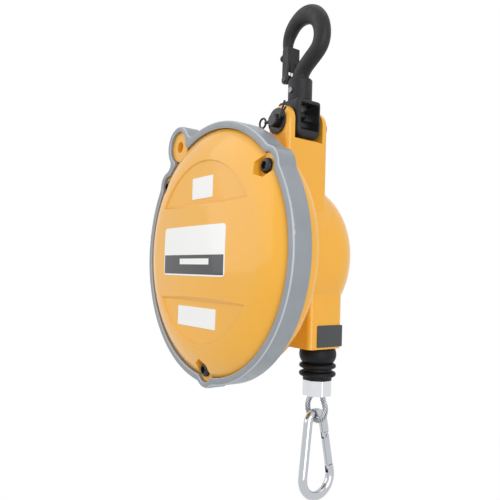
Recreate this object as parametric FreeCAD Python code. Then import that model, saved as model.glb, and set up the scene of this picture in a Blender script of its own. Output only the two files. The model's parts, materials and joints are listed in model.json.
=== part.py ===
import FreeCAD, Part
import math
import os
from FreeCAD import Placement, Rotation, Vector

# Spring balancer: a rope drum pulled by a mainspring hangs from a swivel hook and holds a tool
# on a wire rope that ends in a spring snap hook.
# Everything is drawn in the drum's frame: X to the right along the front cover, Y back along
# the drum's axis, Z up.  save() moves it so that the origin is the seat of the top hook.

X_DIR = Vector(1, 0, 0)
Y_DIR = Vector(0, 1, 0)
Z_DIR = Vector(0, 0, 1)

# ---------------------------------------------------------------- driving dimensions (mm)
rim_r = 93.7            # front cover and spring chamber
bumper_r = 99.7
bumper_front = -2.7
bumper_back = 13.2
ear_back = 12.5         # back of the screw ears and of the safety lug
joint_y = 3.0           # face where the cover meets the spring chamber
screw_circle = 89.0
screw_angles = (40.0, 140.0, 270.0)
screw_ear_r = 9.0
lug_x, lug_z = -53.5, 89.8
lug_r = 12.5
lug_hole_r = 4.6
bumper_valleys = (9.0, 4.0, 9.0, 9.0)
opening_valleys = (3.2, 3.2, 3.2, 3.2)
band_half = 37.5        # half height of the raised band across the cover
panel_r = 69.5
panel_floor = -8.4

hanger_x, hanger_y = 40.0, 51.2      # middle of the hanger strap
pin_z = 99.0
pin_r = 5.0
ear_r = 12.5
column_front, column_back = 30.5, 70.9
slot_front, slot_back = 36.8, 64.6
slot_floor = 85.3
strap_half = 12.0
strap_bottom, strap_top = 87.5, 117.0
washer_front, washer_back = 28.9, 30.4

hook_x, hook_y = 40.5, 51.2          # swivel axis
collar_r = 9.3
collar_top = 135.0
bowl_x, bowl_z = 44.0, 164.4         # middle of the hook's bowl
bowl_r = 19.6                        # bowl radius on the bar's centre line
hook_seat_z = 176.8

flange_front, flange_back = 52.5, 57.5
drum_case_r = 62.0
drum_case_wall = 4.5
dome_start, dome_r = 78.0, 25.0
rope_x, rope_y = 39.0, 78.0
rope_r = 2.0
rope_pitch = 4.15
turn_growth = 2.3
turns = 5
shaft_r = 6.0
outlet_z = -71.0
leg_side = 54.5         # right face of the housing's leg

snap_wire = 3.5
ferrule_top, ferrule_bottom = -96.5, -108.2
loop_half = 10.0        # radius of the loop's bow on the rope's centre line
loop_neck = 6.5         # where each end of the loop enters the ferrule
loop_rope_r = 2.2
loop_bottom = -128.6

# drum housing and tension adjuster
housing_screw_circle = 54.5
housing_screw_angles = (100.0, 165.0, 205.0, 245.0)
worm_x, worm_y = -35.4, 37.0
wheel_r = 30.0
wheel_teeth = 36

# split pin, latch and collar pin
split_pin_y = 27.0
split_hole_r = 1.35
latch_x, latch_z = 28.8, 137.2
latch_half = 6.0
latch_sheet = 1.2
latch_web = (30.6, 31.8)
latch_top = 162.5
collar_pin_r, collar_pin_z = 2.2, 125.0

# the snap hook's two circles in the Y-Z plane: (y from the rope's axis, z, radius)
snap_eye = (-0.5, -130.4, 8.0)
snap_bow = (1.8, -172.2, 14.4)
gate_pivot_rise = 2.0                # along the gate's leg from the end of the bow
nose_drop = 9.0                      # straight nose below the eye
gate_play = 0.35
tongue_half = 1.3
pin_reach = 3.2                      # nose pin's axis below the gate's upper end
nose_pin_r = 1.4
rivet_r = 1.2

origin = Vector(bowl_x, hook_y, hook_seat_z)


# ---------------------------------------------------------------- helpers
def save(name, shape):
    """Write one node, moved into the hook's frame."""
    moved = shape.copy()
    moved.translate(-origin)
    moved.exportStep("parts/%s.step" % name)
    print("%-20s solids %d  volume %.0f mm3" % (name, len(moved.Solids), moved.Volume))


def box(x, y, z):
    """Box between the pairs of limits x, y and z."""
    corner = Vector(x[0], y[0], z[0])
    return Part.makeBox(x[1] - x[0], y[1] - y[0], z[1] - z[0], corner)


def rod_x(radius, x, y, z):
    return Part.makeCylinder(radius, x[1] - x[0], Vector(x[0], y, z), X_DIR)


def rod_y(radius, y, x=0.0, z=0.0):
    return Part.makeCylinder(radius, y[1] - y[0], Vector(x, y[0], z), Y_DIR)


def rod_z(radius, z, x, y):
    return Part.makeCylinder(radius, z[1] - z[0], Vector(x, y, z[0]), Z_DIR)


def fuse(shapes):
    shapes = list(shapes)
    return shapes[0].multiFuse(shapes[1:]).removeSplitter()


def face_of(points, place):
    """Face inside a closed outline; a point of four numbers is an arc through its first pair."""
    edges = []
    last = points[0]
    for point in list(points[1:]) + [points[0]]:
        start, end = place(*last[-2:]), place(*point[-2:])
        if len(point) == 4:
            edges.append(Part.Arc(start, place(*point[:2]), end).toShape())
        elif (end - start).Length > 1e-6:
            edges.append(Part.makeLine(start, end))
        last = point
    return Part.Face(Part.Wire(edges))


def turned_y(points, x=0.0, z=0.0):
    """Solid of revolution about a line along Y; points are (radius, y)."""
    face = face_of(points, lambda r, y: Vector(x + r, y, z))
    return face.revolve(Vector(x, 0, z), Y_DIR, 360)


def turned_z(points, x, y):
    """Solid of revolution about a line along Z; points are (radius, z)."""
    face = face_of(points, lambda r, z: Vector(x + r, y, z))
    return face.revolve(Vector(x, y, 0), Z_DIR, 360)


def polar(radius, degrees):
    angle = math.radians(degrees)
    return radius * math.cos(angle), radius * math.sin(angle)


def edges_where(shape, test):
    return [edge for edge in shape.Edges if test(edge)]


def along(edge, direction):
    """True for a straight edge parallel to direction."""
    if not isinstance(edge.Curve, Part.Line):
        return False
    return abs(abs(edge.Curve.Direction.dot(direction)) - 1) < 1e-6


def tube(wire, radius, start, direction):
    """Round bar along a wire."""
    ring = Part.Wire(Part.makeCircle(radius, start, direction))
    return wire.makePipeShell([ring], True, False)


screw_places = [polar(screw_circle, angle) for angle in screw_angles]


# ---------------------------------------------------------------- spring chamber, cover, bumper
def lobed_plate(radius, ear, lug, y):
    """Round plate with an ear at each cover screw and one at the safety lug."""
    discs = [rod_y(radius, y)]
    discs += [rod_y(ear, y, sx, sz) for sx, sz in screw_places]
    discs.append(rod_y(lug, y, lug_x, lug_z))
    return fuse(discs)


def d_panel(y, radius, chord, side):
    """Wire of a D: an arc of the given radius closed by a level chord above or below centre."""
    half = math.sqrt(radius ** 2 - chord ** 2)
    left, right = Vector(-half, y, side * chord), Vector(half, y, side * chord)
    crown = Vector(0, y, side * radius)
    return Part.Wire([Part.Arc(right, crown, left).toShape(), Part.makeLine(left, right)])


dome_outline = [(0, -12.2), (37, -11.6, 72, -9.2), (85, -5.3, rim_r, 0.4)]


def make_front_cover():
    outer = turned_y(dome_outline + [(rim_r, joint_y), (0, joint_y)])
    hollow = turned_y([(0, -6.0), (70, -6.0), (82, -3.2, 89.3, 0.6), (89.3, 4), (0, 4)])
    bosses = [rod_y(12.0, (-9, joint_y), sx, sz) for sx, sz in screw_places]
    bosses = [boss.common(outer) for boss in bosses]
    shell = outer.cut(hollow)
    rim = lobed_plate(rim_r, screw_ear_r, lug_r, (0.4, joint_y)).cut(rod_y(89.3, (0, 4)))
    shell = fuse([shell, rim] + bosses)
    for side in (1, -1):
        floor = d_panel(panel_floor, panel_r - 0.8, band_half, side)
        rim_wire = d_panel(-16.4, panel_r + 4.5, band_half - 8.0, side)
        shell = shell.cut(Part.makeLoft([floor, rim_wire], True))
    shell = shell.cut(box((-60, 60), (-9.6, -5.9), (-29, 29)))
    for angle, (sx, sz) in zip(screw_angles, screw_places):
        pocket = Part.makePolygon([Vector(sx + dx, 0, sz + dz) for dx, dz in
                                   [polar(8.6, angle + 60 * k) for k in range(7)]])
        pocket = Part.Face(pocket).extrude(Vector(0, -20, 0))
        shell = shell.cut(pocket.fuse(rod_y(3.3, (-1, 4), sx, sz)))
    return shell.cut(rod_y(lug_hole_r, (-10, 10), lug_x, lug_z))


def eared_outline(radius, ear, lug, valleys):
    """Closed outline of a round plate with four ears, each valley between them rounded."""
    ears = [(screw_circle, angle, ear) for angle in screw_angles]
    ears.append((math.hypot(lug_x, lug_z), math.degrees(math.atan2(lug_z, lug_x)), lug))
    ears.sort(key=lambda item: item[1])
    points = []
    for index, (reach, angle, size) in enumerate(ears):
        before, after = valleys[index - 1], valleys[index]
        ex, ez = polar(reach, angle)
        corners = []
        for side, fillet in ((-1, before), (1, after)):
            far, near = radius + fillet, size + fillet
            swing = math.degrees(math.acos((far ** 2 + reach ** 2 - near ** 2)
                                           / (2 * far * reach)))
            cx, cz = polar(far, angle + side * swing)
            foot = (cx * radius / far, cz * radius / far)
            touch = (ex + (cx - ex) * size / near, ez + (cz - ez) * size / near)
            mx, mz = (foot[0] + touch[0]) / 2 - cx, (foot[1] + touch[1]) / 2 - cz
            scale = fillet / math.hypot(mx, mz)
            corners.append((foot, (cx + mx * scale, cz + mz * scale), touch))
        (foot_a, mid_a, touch_a), (foot_b, mid_b, touch_b) = corners
        if points:
            start = math.atan2(points[-1][-1], points[-1][-2])
            middle = (start + math.atan2(foot_a[1], foot_a[0]) % (2 * math.pi)) / 2
            if start < 0:
                middle += math.pi
            points.append((radius * math.cos(middle), radius * math.sin(middle)) + foot_a)
        else:
            points.append(foot_a)
            first = foot_a
        points.append(mid_a + touch_a)
        points.append(polar_tip(ex, ez, size) + touch_b)
        points.append(mid_b + foot_b)
    start = math.degrees(math.atan2(points[-1][-1], points[-1][-2])) % 360
    finish = math.degrees(math.atan2(first[1], first[0])) % 360 + 360
    points.append(polar(radius, (start + finish) / 2) + first)
    return points


def is_mouth(edge):
    """True for the front edges of the bumper's opening."""
    middle = edge.valueAt((edge.FirstParameter + edge.LastParameter) / 2)
    if abs(middle.y - bumper_front) > 1e-6:
        return False
    ears = [(sx, sz, screw_ear_r) for sx, sz in screw_places] + [(lug_x, lug_z, lug_r)]
    near_ear = any(math.hypot(middle.x - ex, middle.z - ez) < size + 0.6 for ex, ez, size in ears)
    return near_ear or math.hypot(middle.x, middle.z) < rim_r + 0.6


def polar_tip(x, z, size):
    """Outermost point of an ear centred at (x, z)."""
    reach = math.hypot(x, z)
    return x * (1 + size / reach), z * (1 + size / reach)


def make_bumper_ring():
    outer = face_of(eared_outline(bumper_r, 14.0, 17.3, bumper_valleys),
                    lambda x, z: Vector(x, bumper_front, z))
    ring = outer.extrude(Vector(0, bumper_back - bumper_front, 0))
    front = edges_where(ring, lambda e: all(abs(v.Y - bumper_front) < 1e-6 for v in e.Vertexes))
    ring = ring.makeFillet(2.5, front)
    inner = face_of(eared_outline(rim_r + 0.3, screw_ear_r + 0.3, lug_r + 0.3, opening_valleys),
                    lambda x, z: Vector(x, bumper_front - 1, z))
    ring = ring.cut(inner.extrude(Vector(0, 30, 0)))
    mouth = edges_where(ring, lambda e: is_mouth(e))
    return ring.makeFillet(1.6, mouth)


def make_main_case():
    back = [(0, joint_y), (rim_r, joint_y), (rim_r, 20), (90.5, 27.8, 82.7, 31), (50, 31),
            (50, flange_front), (drum_case_r, flange_front), (drum_case_r, flange_back),
            (0, flange_back)]
    inside = [(0, 0), (88, 0), (88, 27), (44, 27), (44, 46.5), (10, 46.5), (10, 49.5),
              (14, 49.5), (14, 60), (0, 60)]
    column = box((hanger_x - ear_r, hanger_x + ear_r), (column_front, column_back),
                 (20, pin_z))
    head = rod_y(ear_r, (column_front, column_back), hanger_x, pin_z)
    column = column.fuse(head).removeSplitter()
    upright = edges_where(column, lambda e: along(e, Z_DIR))
    column = column.makeFillet(4.0, upright)
    column = column.cut(rod_y(drum_case_r + 0.02, (flange_back - 0.5, 80)))
    slot = box((0, 80), (slot_front, slot_back), (slot_floor, 130))
    column = column.cut(slot)
    stop = box((43, 48), (slot_front, slot_back), (slot_floor - 1, strap_bottom - 0.3))
    column = column.fuse(stop)
    ears = lobed_plate(rim_r, screw_ear_r, lug_r, (joint_y, ear_back))
    chamber = turned_y(back)
    solid = fuse([chamber, ears, column,
                  rod_z(9.0, (-50, -20), worm_x, worm_y)])
    solid = solid.cut(turned_y(inside))
    posts = [rod_y(6.5, (joint_y, 27), sx, sz).common(chamber) for sx, sz in screw_places]
    bearing_boss = rod_z(7.5, (19, 34), worm_x, worm_y).common(rod_y(46, (27, 46.5)))
    solid = fuse([solid, bearing_boss] + posts)
    for sx, sz in screw_places:
        solid = solid.cut(rod_y(3.02, (0, 21), sx, sz))
    solid = solid.cut(rod_z(4.05, (-60, 27), worm_x, worm_y))
    solid = solid.cut(rod_y(pin_r + 0.05, (20, 80), hanger_x, pin_z))
    for angle in housing_screw_angles:
        sx, sz = polar(housing_screw_circle, angle)
        solid = solid.cut(rod_y(2.02, (40, 60), sx, sz))
    return solid.cut(rod_y(lug_hole_r, (-10, 30), lug_x, lug_z))


def make_cover_screws():
    return Part.makeCompound([button_screw(3.0, 5.4, 3.2, 22.0, sx, 0.0, sz, 3.0)
                              for sx, sz in screw_places])


def button_screw(shank, head, height, length, x, y, z, socket):
    """Socket button screw pointing along +Y, its head's underside at y."""
    top = y - height
    body = turned_y([(0, top), (head * 0.45, top), (head * 0.85, top + 0.25 * height, head, y),
                     (shank, y), (shank, y + length - 3), (0, y + length - 3)], x, z)
    hexagon = Part.makePolygon([Vector(x + dx, top - 1, z + dz) for dx, dz in
                                [polar(socket, 60 * k) for k in range(7)]])
    return body.cut(Part.Face(hexagon).extrude(Vector(0, 1 + 0.6 * height, 0)))


# ---------------------------------------------------------------- drum housing
def make_drum_housing():
    inner_r = drum_case_r - drum_case_wall
    bend = dome_r * math.sqrt(0.5)
    mid = (drum_case_r - dome_r + bend, dome_start + bend)
    end = (drum_case_r - dome_r, dome_start + dome_r)
    outer = turned_y([(0, flange_back), (drum_case_r, flange_back), (drum_case_r, dome_start),
                      mid + end, (0, end[1])])
    leg = box((24, leg_side), (55, 91), (outlet_z, 0))
    leg = leg.makeFillet(4.0, edges_where(leg, lambda e: along(e, Z_DIR) and e.Vertexes[0].Y < 60))
    leg = leg.makeFillet(8.0, edges_where(leg, lambda e: along(e, Z_DIR) and e.Vertexes[0].Y > 80))
    body = outer.fuse(leg.cut(rod_y(drum_case_r + 0.02, (50, flange_back)))).removeSplitter()
    inner_bend = (dome_r - drum_case_wall) * math.sqrt(0.5)
    mid = (drum_case_r - dome_r + inner_bend, dome_start + inner_bend)
    end = (drum_case_r - dome_r, dome_start + dome_r - drum_case_wall)
    chamber = turned_y([(0, 50), (inner_r, 50), (inner_r, dome_start), mid + end, (0, end[1])])
    boss = rod_y(18, (88.5, 99))
    body = body.cut(chamber).fuse(boss)
    body = body.cut(rod_y(14, (88, 96.5))).cut(rod_y(10, (88, 99.5)))
    body = body.cut(rod_z(6.0, (-60, -30), rope_x, rope_y))
    body = body.cut(rod_z(8.5, (outlet_z - 1, -58), rope_x, rope_y))
    for angle in housing_screw_angles:
        sx, sz = polar(housing_screw_circle, angle)
        lug = rod_y(4.0, (flange_back, 66), sx, sz).common(rod_y(drum_case_r, (50, 70)))
        body = body.fuse(lug).cut(rod_y(2.02, (50, 64), sx, sz))
    return body.removeSplitter()


def make_housing_screws():
    """Countersunk screws that pull the drum housing onto the main case's flange."""
    screws = []
    for angle in housing_screw_angles:
        sx, sz = polar(housing_screw_circle, angle)
        screws.append(turned_y([(0, 50.0), (3.4, 50.0), (3.4, 52.45), (2.0, 52.45), (2.0, 63.5),
                                (0, 63.5)], sx, sz))
    return Part.makeCompound(screws)


def make_rope_guide():
    """Flanged bush that the rope leaves through."""
    return turned_z([(4.0, outlet_z + 2.5), (4.6, outlet_z, ), (8.45, outlet_z), (8.45, -58.5),
                     (6.5, -58.5), (5.2, -59.7, 4.0, -62)], rope_x, rope_y)


# ---------------------------------------------------------------- tension adjuster
def make_spring_case():
    """Tray round the mainspring; the worm wheel on its hub turns it to preset the pull."""
    tray = turned_y([(6.05, 24.4), (16, 24.4), (79.5, 24.4), (79.5, 6), (81.5, 6), (81.5, 26.4),
                     (16, 26.4), (16, 33), (wheel_r, 33), (wheel_r, 41), (12, 41), (12, 43),
                     (6.05, 43)])
    for k in range(wheel_teeth):
        gx, gz = polar(wheel_r + 0.9, 360.0 * (k + 0.5) / wheel_teeth)
        notch = rod_y(1.7, (32, 42), gx, gz)
        tray = tray.cut(notch)
    return tray


def make_worm():
    """Worm with a hexagon socket in its lower end; its thread is left plain."""
    screw = turned_z([(0, -47), (3.6, -47), (4.0, -46.6), (4.0, -16.5), (5.0, -15.5),
                      (5.0, 15.5), (4.0, 16.5), (4.0, 25.5), (0, 25.5)], worm_x, worm_y)
    hexagon = Part.makePolygon([Vector(worm_x + dx, worm_y + dy, -50) for dx, dy in
                                [polar(2.9, 60 * k) for k in range(7)]])
    return screw.cut(Part.Face(hexagon).extrude(Vector(0, 0, 9)))


def make_mainspring():
    """Flat spiral spring from the arbor out to the spring case, drawn as half circles."""
    first, pitch, thickness, half_turns = 17.0, 6.0, 1.8, 20
    edges_in, edges_out = [], []
    x = first
    radius = first
    for k in range(half_turns):
        sign = 1 if k % 2 == 0 else -1
        step = pitch / 2.0
        centre = x - sign * radius
        end = centre - sign * radius
        for edges, r in ((edges_in, radius), (edges_out, radius + thickness)):
            start = Vector(centre + sign * r, 0, 0)
            mid = Vector(centre, 0, sign * r)
            stop = Vector(centre - sign * r, 0, 0)
            edges.append(Part.Arc(start, mid, stop).toShape())
        x = end
        radius += step
    caps = [Part.makeLine(edges_in[0].Vertexes[0].Point, edges_out[0].Vertexes[0].Point),
            Part.makeLine(edges_in[-1].Vertexes[-1].Point, edges_out[-1].Vertexes[-1].Point)]
    outline = Part.Wire(Part.__sortEdges__(edges_in + caps + edges_out))
    strip = Part.Face(outline)
    strip.translate(Vector(0, 8, 0))
    return strip.extrude(Vector(0, 15, 0))


# ---------------------------------------------------------------- drum and shaft
def turn_place(k):
    """Radius and Y of the rope's centre line on turn k, counted from the turn that unwinds."""
    return rope_x + turn_growth * k, rope_y - rope_pitch * k


def make_rope_drum():
    """Tapered drum with a rounded groove for each turn of the rope."""
    slope = turn_growth / rope_pitch
    front, back = 57.9, 86.5
    crest_front = rope_x + slope * (rope_y - front) - 0.2
    crest_back = rope_x + slope * (rope_y - 81.5) + 1.6
    drum = turned_y([(shaft_r + 0.02, front), (crest_front, front), (crest_back, 81.5),
                     (41.5, 84.5), (41.5, back), (31, back), (25, 64), (12, 64), (12, back),
                     (shaft_r + 0.02, back)])
    groove_r = rope_r + 0.05
    for k in range(turns):
        radius, y = turn_place(k)
        groove = turned_y([(radius, y - groove_r), (radius + 20, y - groove_r),
                           (radius + 20, y + groove_r), (radius, y + groove_r),
                           (radius - groove_r, y, radius, y - groove_r)])
        drum = drum.cut(groove)
    return drum.cut(box((-1.5, 1.5), (60, 90), (0, 8.0)))


def make_rope_on_drum():
    """Rope laid in the grooves; the last turn stops where the rope leaves the drum."""
    rings = []
    for k in range(turns):
        radius, y = turn_place(k)
        sweep = 330 if k == 0 else 360
        disc = Part.Face(Part.Wire(Part.makeCircle(rope_r, Vector(radius, y, 0), Z_DIR)))
        rings.append(disc.revolve(Vector(0, y, 0), -Y_DIR, sweep))
    return Part.makeCompound(rings)


def make_drum_shaft():
    shaft = turned_y([(0, 7.5), (5.4, 7.5), (shaft_r, 8.1), (shaft_r, 96.4), (5.4, 97),
                      (0, 97)])
    return shaft.cut(box((-1.5, 1.5), (70, 84), (4.0, 7.0)))


def make_drum_key():
    return box((-1.45, 1.45), (70.1, 83.9), (4.05, 7.95))


def make_spring_arbor():
    """Sleeve on the shaft's front end that holds the spring's inner coil."""
    sleeve = turned_y([(shaft_r + 0.02, 8.5), (14.5, 8.5), (15.5, 9.5), (15.5, 22), (14.5, 23),
                       (shaft_r + 0.02, 23)])
    return sleeve.cut(box((12, 17), (6, 25), (-1.2, 1.2)))


def make_bearing(y):
    """Ball bearing 12 x 28 x 8: two rings and eight balls."""
    inner = turned_y([(shaft_r + 0.01, y), (8.2, y), (8.2, y + 8), (shaft_r + 0.01, y + 8)])
    outer = turned_y([(11.8, y), (13.98, y), (13.98, y + 8), (11.8, y + 8)])
    balls = [Part.makeSphere(1.75, Vector(dx, y + 4, dz)) for dx, dz in
             [polar(10.0, 45 * k) for k in range(8)]]
    return Part.makeCompound([inner, outer] + balls)


def make_circlip(y):
    ring = turned_y([(shaft_r + 0.02, y), (8.0, y), (8.0, y + 1), (shaft_r + 0.02, y + 1)])
    return ring.cut(box((-2, 2), (y - 1, y + 2), (-10, 0)))


# ---------------------------------------------------------------- hanger
def make_hanger_strap():
    """Square stirrup between the ears; the hook's shank stands in its top."""
    body = box((hanger_x - 12.5, hanger_x + 12.5), (hanger_y - strap_half, hanger_y + strap_half),
               (strap_bottom, strap_top))
    lower = edges_where(body, lambda e: along(e, X_DIR) and e.Vertexes[0].Z < 90)
    body = body.makeFillet(7.0, lower)
    heel = edges_where(body, lambda e: along(e, Y_DIR) and e.Vertexes[0].Z < 90)
    body = body.makeFillet(3.0, heel)
    upper = edges_where(body, lambda e: along(e, X_DIR) and e.Vertexes[0].Z > 110)
    body = body.makeFillet(2.5, upper)
    window = box((0, 80), (42.4, 60.2), (93.2, 113.6))
    window = window.makeFillet(1.5, edges_where(window, lambda e: along(e, X_DIR)))
    body = body.cut(window)
    body = body.cut(rod_y(pin_r + 0.06, (30, 70), hanger_x, pin_z))
    return body.cut(rod_z(5.06, (112, 120), hook_x, hook_y))


def make_hanger_pin():
    """Pin with a flat head behind the rear ear and a cross hole for the split pin in front."""
    head = column_back + 0.1
    pin = turned_y([(0, 24.5), (pin_r - 0.8, 24.5), (pin_r, 25.3), (pin_r, head), (8, head),
                    (8, head + 2.4), (7.4, head + 3.0), (0, head + 3.0)], hanger_x, pin_z)
    return pin.cut(rod_x(split_hole_r, (20, 60), split_pin_y, pin_z))


def make_pin_washer():
    return turned_y([(pin_r + 0.1, washer_front), (9.6, washer_front), (9.6, washer_back),
                     (pin_r + 0.1, washer_back)], hanger_x, pin_z)


def make_split_pin():
    """Split pin: an eye on the left, the shank through the pin, two legs bent upwards."""
    shank = rod_x(1.3, (hanger_x - 10.5, hanger_x + 6.0), split_pin_y, pin_z)
    eye = Part.makeTorus(3.7, 0.8, Vector(hanger_x - 14.0, split_pin_y, pin_z + 0.3), Y_DIR)
    root = Vector(hanger_x + 5.9, split_pin_y, pin_z)
    legs = []
    for tip in (Vector(51.6, split_pin_y, 111.5), Vector(53.0, split_pin_y, 106.5)):
        legs.append(Part.makeCylinder(0.75, (tip - root).Length, root, tip - root))
    return fuse([shank, eye] + legs)


# ---------------------------------------------------------------- hook
def hook_stations():
    """Centre line of the forged hook: (x, z, heading in degrees, in-plane and cross half widths)."""
    stations = [(hook_x, collar_top, 90, 6.4, 6.4), (41.9, 139.6, 66, 6.3, 6.3),
                (47.4, 144.8, 42, 6.2, 6.1), (54.8, 149.8, 42, 6.4, 6.1)]
    shape = ((-26, 6.6, 6.1), (10, 6.9, 6.1), (50, 7.2, 6.0), (85, 7.2, 5.9), (120, 6.3, 5.2),
             (148, 5.4, 5.0), (170, 4.7, 4.1))
    for angle, half, cross in shape:
        dx, dz = polar(bowl_r, angle)
        stations.append((bowl_x + dx, bowl_z + dz, angle + 90, half, cross))
    stations.append((24.2, 161.8, 246, 4.9, 3.0))
    stations.append((20.6, 158.0, 236, 2.8, 2.4))
    return stations


def make_hook():
    """Forged hook, lofted through ellipses that swell over the seat and thin to the tip."""
    rings = []
    for x, z, heading, half, cross in hook_stations():
        ellipse = Part.Ellipse(Vector(0, 0, 0), max(half, cross) + 0.001, min(half, cross))
        wire = Part.Wire(ellipse.toShape())
        spin = Rotation(Z_DIR, 0 if half >= cross else 90)
        tilt = Rotation(Y_DIR, 90 - heading)
        wire.Placement = Placement(Vector(x, hook_y, z), tilt.multiply(spin))
        rings.append(wire)
    body = Part.makeLoft(rings, True, False)
    nub = Part.makeSphere(2.8, Vector(19.4, hook_y, 157.4))
    shank = turned_z([(0, 104.4), (4.4, 104.4), (5.0, 105.0), (5.0, collar_top + 0.5),
                      (0, collar_top + 0.5)],
                     hook_x, hook_y)
    lug = rod_y(3.2, (hook_y - 2.2, hook_y + 2.2), latch_x, latch_z)
    arm = box((latch_x, hook_x), (hook_y - 2.2, hook_y + 2.2), (collar_top, latch_z + 1.3))
    hook = fuse([body, nub, shank, lug, arm])
    hook = hook.cut(rod_y(2.02, (30, 70), latch_x, latch_z))
    return hook.cut(rod_y(collar_pin_r + 0.02, (30, 70), hook_x, collar_pin_z))


def make_hook_collar():
    """Sleeve pinned on the shank; it bears on the hanger strap."""
    collar = turned_z([(5.02, strap_top + 0.3), (collar_r - 0.6, strap_top + 0.3),
                       (collar_r, strap_top + 0.9), (collar_r, collar_top - 2.2),
                       (collar_r - 0.6, collar_top - 0.65, collar_r - 2.1, collar_top - 0.05),
                       (5.02, collar_top - 0.05)], hook_x, hook_y)
    return collar.cut(rod_y(collar_pin_r + 0.02, (30, 70), hook_x, collar_pin_z))


def make_collar_pin():
    return rod_y(collar_pin_r, (hook_y - 10.4, hook_y + 10.4), hook_x, collar_pin_z)


def make_hook_nut():
    """Slotted round nut under the strap's top."""
    nut = turned_z([(5.02, 107.6), (6.0, 107.6), (6.7, 108.3), (6.7, 112.4), (5.02, 112.4)],
                   hook_x, hook_y)
    for angle in (0, 60, 120):
        slot = box((-9, 9), (-0.9, 0.9), (106, 109.4))
        slot.rotate(Vector(0, 0, 0), Z_DIR, angle)
        slot.translate(Vector(hook_x, hook_y, 0))
        nut = nut.cut(slot)
    return nut


def make_thrust_washer():
    return turned_z([(5.1, 112.45), (6.9, 112.45), (6.9, 113.3), (5.1, 113.3)], hook_x, hook_y)


def make_hook_latch():
    """Pressed channel across the throat: its web bears on the tip, its sides stand round it."""
    outer = (hook_y - latch_half, hook_y + latch_half)
    inner = (outer[0] + latch_sheet, outer[1] - latch_sheet)
    sides = box((25.4, latch_web[1]), outer, (latch_z, latch_top))
    sides = sides.fuse(rod_y(4.0, outer, latch_x, latch_z)).removeSplitter()
    corners = edges_where(sides, lambda e: along(e, Y_DIR) and e.Vertexes[0].Z > latch_top - 1
                          and e.Vertexes[0].X < latch_x)
    sides = sides.makeFillet(2.5, corners)
    space = box((0, latch_web[0]), inner, (latch_z - 9, latch_top + 5))
    below = box((0, 80), inner, (latch_z - 9, latch_z + 5.5))
    latch = sides.cut(space).cut(below)
    return latch.cut(rod_y(2.03, (30, 70), latch_x, latch_z)).removeSplitter()


def make_latch_spring():
    """Torsion spring: a coil on each side of the hook's lug and a leg on the latch's web."""
    radius, wire_r = 3.4, 0.35
    coils = []
    for side in (-1, 1):
        helix = Part.makeHelix(0.75, 1.5, radius)
        start = Vector(radius, 0, 0)
        coil = tube(Part.Wire(helix.Edges), wire_r, start, Y_DIR)
        leg = Part.makeCylinder(wire_r, 13.0, start, Vector(0.0, 1, 0))
        coil = coil.fuse(leg)
        coil.rotate(Vector(0, 0, 0), X_DIR, 90)
        if side > 0:
            coil = coil.mirror(Vector(0, 0, 0), Y_DIR)
        coil.translate(Vector(latch_x, hook_y + side * 2.8, latch_z))
        coils.append(coil)
    return Part.makeCompound(coils)


def make_latch_rivet():
    return turned_y([(0, hook_y - 7.0), (1.9, hook_y - 7.0), (2.9, hook_y - 6.05),
                     (2.0, hook_y - 6.05), (2.0, hook_y + 6.05), (2.9, hook_y + 6.05),
                     (1.9, hook_y + 7.0), (0, hook_y + 7.0)], latch_x, latch_z)


# ---------------------------------------------------------------- rope end and snap hook
def make_wire_rope():
    """Free rope from the drum's edge down to the ferrule."""
    return rod_z(rope_r, (ferrule_top + 2.0, -0.05), rope_x, rope_y)


def make_rope_buffer():
    """Rubber bellows that cushions the rope end against the housing."""
    return turned_z([(2.1, outlet_z - 0.3), (12.9, outlet_z - 0.3), (14.5, -77.5, 12.2, -83.0),
                     (11.6, -83.7), (13.4, -84.0), (14.4, -85.6, 13.4, -87.2), (11.2, -88.0),
                     (11.2, -89.4), (13.4, -90.2), (14.4, -91.8, 13.4, -93.4), (11.4, -94.4),
                     (11.2, ferrule_top + 0.05), (2.1, ferrule_top + 0.05)], rope_x, rope_y)


def make_rope_ferrule():
    """Eight-sided pressed sleeve that grips the rope and both ends of the loop."""
    points = [polar(11.9, 45 * k + 22.5) for k in range(9)]
    outline = Part.makePolygon([Vector(rope_x + dx, rope_y + dy, ferrule_bottom)
                                for dx, dy in points])
    body = Part.Face(outline).extrude(Vector(0, 0, ferrule_top - ferrule_bottom))
    body = body.makeFillet(0.8, edges_where(body, lambda e: along(e, Z_DIR)))
    body = body.cut(rod_z(rope_r + 0.01, (ferrule_top - 5, 0), rope_x, rope_y))
    for side in (-1, 1):
        body = body.cut(rod_z(loop_rope_r + 0.01, (-130, ferrule_bottom + 6),
                              rope_x + side * loop_neck, rope_y))
    return body


def make_rope_loop():
    """Pear-shaped loop of rope that carries the snap hook, both ends in the ferrule."""
    neck_z = ferrule_bottom - 0.1
    bow_z = loop_bottom + loop_half
    rise = neck_z - bow_z
    flare = (loop_neck ** 2 + rise ** 2 - loop_half ** 2) / (2 * (loop_half - loop_neck))
    bow = Vector(0, 0, bow_z)
    flare_axis = Vector(loop_neck + flare, 0, neck_z)
    touch = bow + (flare_axis - bow).normalize() * loop_half
    half_lean = 0.5 * math.acos((loop_neck + flare) / (loop_half + flare))
    middle = flare_axis - Vector(math.cos(half_lean), 0, math.sin(half_lean)) * flare

    def at(point, side):
        return Vector(rope_x + side * point.x, rope_y, point.z)

    neck, end = Vector(loop_neck, 0, neck_z), Vector(loop_neck, 0, ferrule_bottom + 5.9)
    path = Part.Wire([
        Part.makeLine(at(end, -1), at(neck, -1)),
        Part.Arc(at(neck, -1), at(middle, -1), at(touch, -1)).toShape(),
        Part.Arc(at(touch, -1), Vector(rope_x, rope_y, loop_bottom), at(touch, 1)).toShape(),
        Part.Arc(at(touch, 1), at(middle, 1), at(neck, 1)).toShape(),
        Part.makeLine(at(neck, 1), at(end, 1))])
    return tube(path, loop_rope_r, at(end, -1), Z_DIR)


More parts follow.
